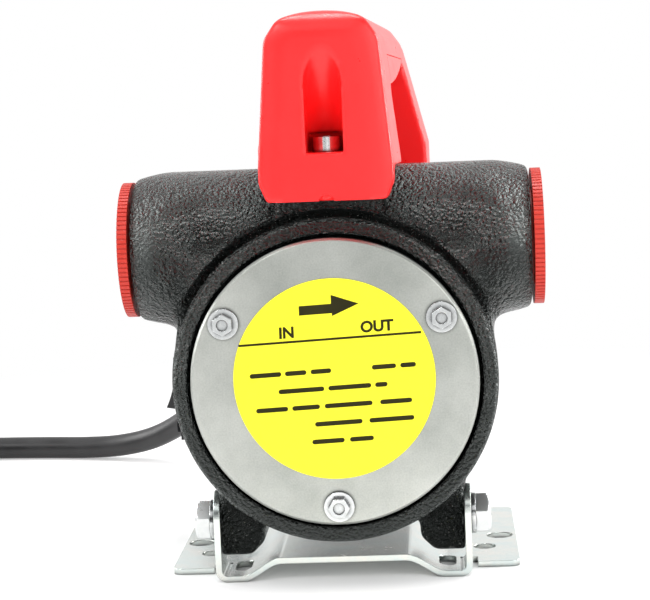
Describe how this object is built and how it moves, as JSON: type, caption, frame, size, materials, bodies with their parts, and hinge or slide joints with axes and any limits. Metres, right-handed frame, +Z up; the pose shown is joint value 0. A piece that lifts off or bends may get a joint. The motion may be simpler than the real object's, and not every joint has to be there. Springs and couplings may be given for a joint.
{
  "type": "diesel transfer pump",
  "caption": "Vane pump head with side ports and red caps, a direct-current motor behind it, carry handle, sheet mounting bracket and power cord, for moving diesel fuel.",
  "frame": {"origin": "centre of the four mounting holes, on the bracket's underside", "axes": "+X towards the outlet port, +Y from the cover plate back along the motor, +Z up"},
  "size_m": [0.4018, 0.264, 0.1959],
  "materials": {
    "cast_black": "black wrinkle coat over cast iron",
    "cover_grey": "matt zinc grey",
    "seal_rubber": "black rubber",
    "zinc_bolt": "bright zinc plate",
    "label_yellow": "printed yellow film",
    "machined_steel": "ground steel",
    "vane_composite": "dark composite",
    "brass_part": "plain brass",
    "spring_steel": "spring wire",
    "cap_red": "satin red plastic",
    "bracket_zinc": "zinc-plated sheet",
    "flange_aluminium": "die cast",
    "motor_black": "semi-gloss black paint",
    "magnet_grey": "ferrite",
    "core_steel": "stacked sheet steel",
    "copper_wire": "lacquered copper wire",
    "copper_bar": "copper bars",
    "board_brown": "laminate board",
    "carbon": "pressed carbon",
    "black_plastic": "moulded black plastic",
    "switch_black": "smooth black plastic",
    "lead_red": "red wire cover",
    "handle_red": "fine-textured red plastic",
    "cord_black": "satin black sheath",
    "tie_black": "woven strap",
    "plug_grey": "moulded grey plastic",
    "contact_metal": "silver plate"
  },
  "bodies": {
    "pump_base": {"pump_body": "cast_black", "cover_plate": "cover_grey", "cover_seal": "seal_rubber", "cover_bolts": "zinc_bolt", "rating_label": "label_yellow", "shaft_seal": "seal_rubber", "bypass_spring": "spring_steel", "bypass_retainer": "brass_part", "mounting_bracket": "bracket_zinc", "bracket_bolts": "zinc_bolt", "lock_washers": "zinc_bolt", "motor_flange": "flange_aluminium", "front_bearing": "machined_steel", "rear_bearing": "machined_steel", "wave_washer": "spring_steel", "motor_tube": "motor_black", "motor_magnets": "magnet_grey", "brush_plate": "board_brown", "brush_holders": "brass_part", "brush_spring_left": "spring_steel", "brush_spring_right": "spring_steel", "motor_end_cap": "motor_black", "through_bolts": "zinc_bolt", "switch_box": "black_plastic", "switch_box_lid": "black_plastic", "lid_screws": "zinc_bolt", "switch_body": "switch_black", "motor_leads": "lead_red", "cable_gland": "black_plastic", "gland_nut": "black_plastic", "strain_relief": "seal_rubber", "handle": "handle_red", "handle_liner": "handle_red", "liner_screws": "zinc_bolt", "handle_screws": "zinc_bolt", "power_cord": "cord_black", "power_cord_coil": "cord_black", "power_cord_tail": "cord_black", "cord_tie": "tie_black", "battery_plug": "plug_grey", "plug_contacts": "contact_metal"},
    "rotating_group": {"armature_shaft": "machined_steel", "armature_core": "core_steel", "armature_windings": "copper_wire", "commutator": "copper_bar", "pump_rotor": "machined_steel", "rotor_vanes": "vane_composite", "rotor_pin": "machined_steel"},
    "bypass_body": {"bypass_poppet": "brass_part"},
    "brush_left_body": {"brush_left": "carbon"},
    "brush_right_body": {"brush_right": "carbon"},
    "rocker_body": {"switch_rocker": "switch_black"},
    "inlet_cap_body": {"inlet_cap": "cap_red"},
    "outlet_cap_body": {"outlet_cap": "cap_red"}
  },
  "joints": [
    {"name": "rotor_spin", "type": "hinge", "parent": "pump_base", "child": "rotating_group", "pos_m": [0, 0, 0.071], "axis": [0, 1, 0], "continuous": true},
    {"name": "bypass_open", "type": "slide", "parent": "pump_base", "child": "bypass_body", "axis": [-1, 0, 0], "range_m": [0, 0.004], "stiffness_N_per_m": 1200, "springref_m": -0.002, "deforming": ["bypass_spring"]},
    {"name": "brush_left_slide", "type": "slide", "parent": "pump_base", "child": "brush_left_body", "axis": [-1, 0, 0], "range_m": [0, 0.004], "stiffness_N_per_m": 120, "springref_m": -0.002, "deforming": ["brush_spring_left"]},
    {"name": "brush_right_slide", "type": "slide", "parent": "pump_base", "child": "brush_right_body", "axis": [1, 0, 0], "range_m": [0, 0.004], "stiffness_N_per_m": 120, "springref_m": -0.002, "deforming": ["brush_spring_right"]},
    {"name": "switch_rock", "type": "hinge", "parent": "pump_base", "child": "rocker_body", "pos_m": [-0.0606, 0.01, 0.06], "axis": [0, -1, 0], "range_deg": [0, 20]},
    {"name": "inlet_cap_unscrew", "type": "slide", "parent": "pump_base", "child": "inlet_cap_body", "axis": [-1, 0, 0], "range_m": [0, 0.05]},
    {"name": "outlet_cap_unscrew", "type": "slide", "parent": "pump_base", "child": "outlet_cap_body", "axis": [1, 0, 0], "range_m": [0, 0.05]}
  ]
}
